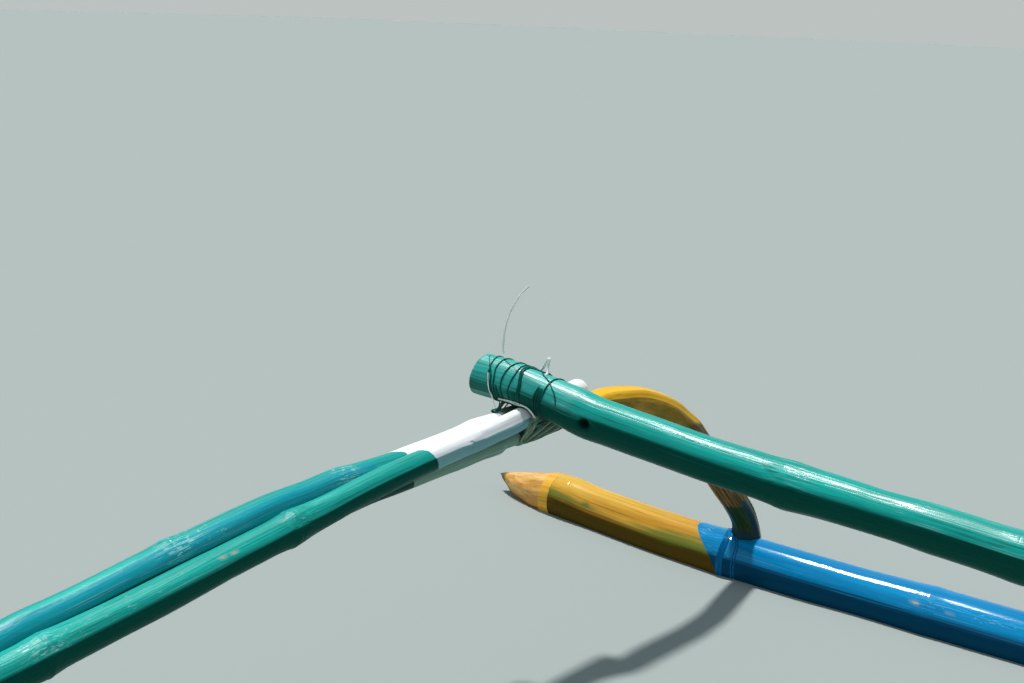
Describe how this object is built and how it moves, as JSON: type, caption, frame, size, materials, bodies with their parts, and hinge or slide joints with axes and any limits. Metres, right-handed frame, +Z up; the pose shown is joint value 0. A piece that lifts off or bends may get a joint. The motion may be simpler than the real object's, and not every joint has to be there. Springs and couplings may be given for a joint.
{
  "type": "canoe outrigger",
  "caption": "Side outrigger of an outrigger canoe: a bamboo float with carved ends, bent wooden struts, paired bamboo booms and a side pole, tied with cord.",
  "frame": {"origin": "on the waterline, on the float's centreline, at the middle of its length", "axes": "+X forward along the float, +Y inboard towards the hull, +Z up"},
  "size_m": [5.084, 4.0065, 1.007],
  "materials": {
    "float_paint": "glossy brushed enamel paint on bamboo, blue with ochre ends",
    "carved_wood": "carved, weathered, partly painted ochre",
    "teal_paint": "glossy brushed enamel paint on bamboo, white at the outer boom ends",
    "bluish_teal_paint": "glossy brushed enamel paint on bamboo, worn at the nodes",
    "ochre_paint": "semi-gloss ochre paint on bent wood",
    "pale_cord": "twisted nylon cord, weathered",
    "painted_cord": "thin cord painted over in dark teal",
    "blue_cord": "cord painted over in blue"
  },
  "bodies": {
    "root": {"float_pole": "float_paint", "float_bow_plug": "carved_wood", "float_stern_plug": "carved_wood", "side_pole": "teal_paint", "bow_boom_fore_pole": "bluish_teal_paint", "bow_boom_aft_pole": "teal_paint", "bow_strut": "ochre_paint", "bow_crossing_lashing": "pale_cord", "bow_side_pole_turns": "painted_cord", "bow_foot_lashing": "blue_cord", "bow_boom_binding": "pale_cord", "mid_boom_fore_pole": "bluish_teal_paint", "mid_boom_aft_pole": "teal_paint", "mid_strut": "ochre_paint", "mid_crossing_lashing": "pale_cord", "mid_side_pole_turns": "painted_cord", "mid_foot_lashing": "blue_cord", "mid_boom_binding": "pale_cord", "stern_boom_fore_pole": "bluish_teal_paint", "stern_boom_aft_pole": "teal_paint", "stern_strut": "ochre_paint", "stern_crossing_lashing": "pale_cord", "stern_side_pole_turns": "painted_cord", "stern_foot_lashing": "blue_cord", "stern_boom_binding": "pale_cord", "bow_lashing_tail": "pale_cord"}
  },
  "joints": []
}
